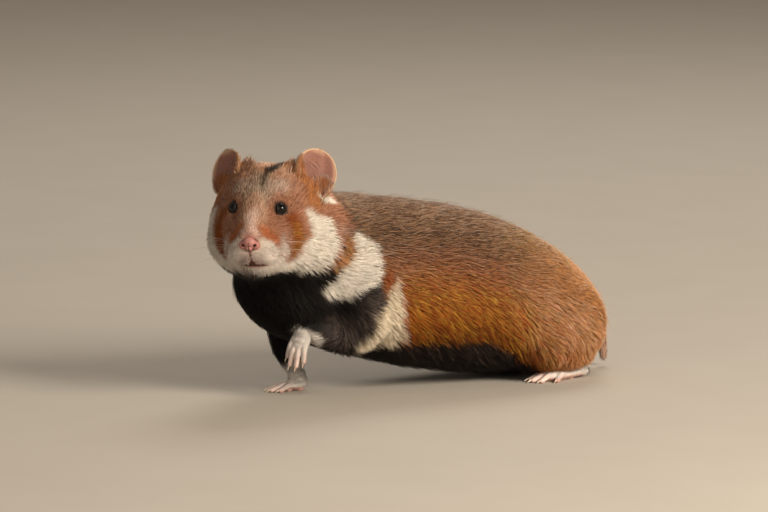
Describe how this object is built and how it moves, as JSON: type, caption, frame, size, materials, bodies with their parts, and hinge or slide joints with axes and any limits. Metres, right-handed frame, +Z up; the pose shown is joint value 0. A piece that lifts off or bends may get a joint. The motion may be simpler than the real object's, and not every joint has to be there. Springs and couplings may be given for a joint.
{
  "type": "european hamster model",
  "caption": "Still life-size European hamster model, standing with its left forepaw lifted and its head turned to its left.",
  "frame": {"origin": "middle of the bounding box on the floor plane", "axes": "the animal faces -Y, its left side is +X and +Z is up from the floor"},
  "size_m": [0.1014, 0.274, 0.1455],
  "materials": {
    "coat": "soft fur, orange-brown with black, white and cream markings",
    "skin": "matte bare skin with fine hairs",
    "eye": "wet dark gloss",
    "horn": "pale smooth claw"
  },
  "bodies": {
    "root": {"head": "coat", "neck": "coat", "chest": "coat", "ribs": "coat", "loin": "coat", "rump": "coat", "upper_arm_left": "coat", "upper_arm_right": "coat", "forearm_left": "coat", "forearm_right": "coat", "thigh_left": "coat", "thigh_right": "coat", "shank_left": "coat", "shank_right": "coat", "nose": "skin", "ear_left": "skin", "ear_right": "skin", "tail": "skin", "forepaw_left": "skin", "forepaw_right": "skin", "hindfoot_left": "skin", "hindfoot_right": "skin", "eye_left": "eye", "eye_right": "eye", "claw_forepaw_left_1": "horn", "claw_forepaw_left_2": "horn", "claw_forepaw_left_3": "horn", "claw_forepaw_left_4": "horn", "claw_forepaw_right_1": "horn", "claw_forepaw_right_2": "horn", "claw_forepaw_right_3": "horn", "claw_forepaw_right_4": "horn", "claw_hindfoot_left_1": "horn", "claw_hindfoot_left_2": "horn", "claw_hindfoot_left_3": "horn", "claw_hindfoot_left_4": "horn", "claw_hindfoot_left_5": "horn", "claw_hindfoot_right_1": "horn", "claw_hindfoot_right_2": "horn", "claw_hindfoot_right_3": "horn", "claw_hindfoot_right_4": "horn", "claw_hindfoot_right_5": "horn"}
  },
  "joints": []
}
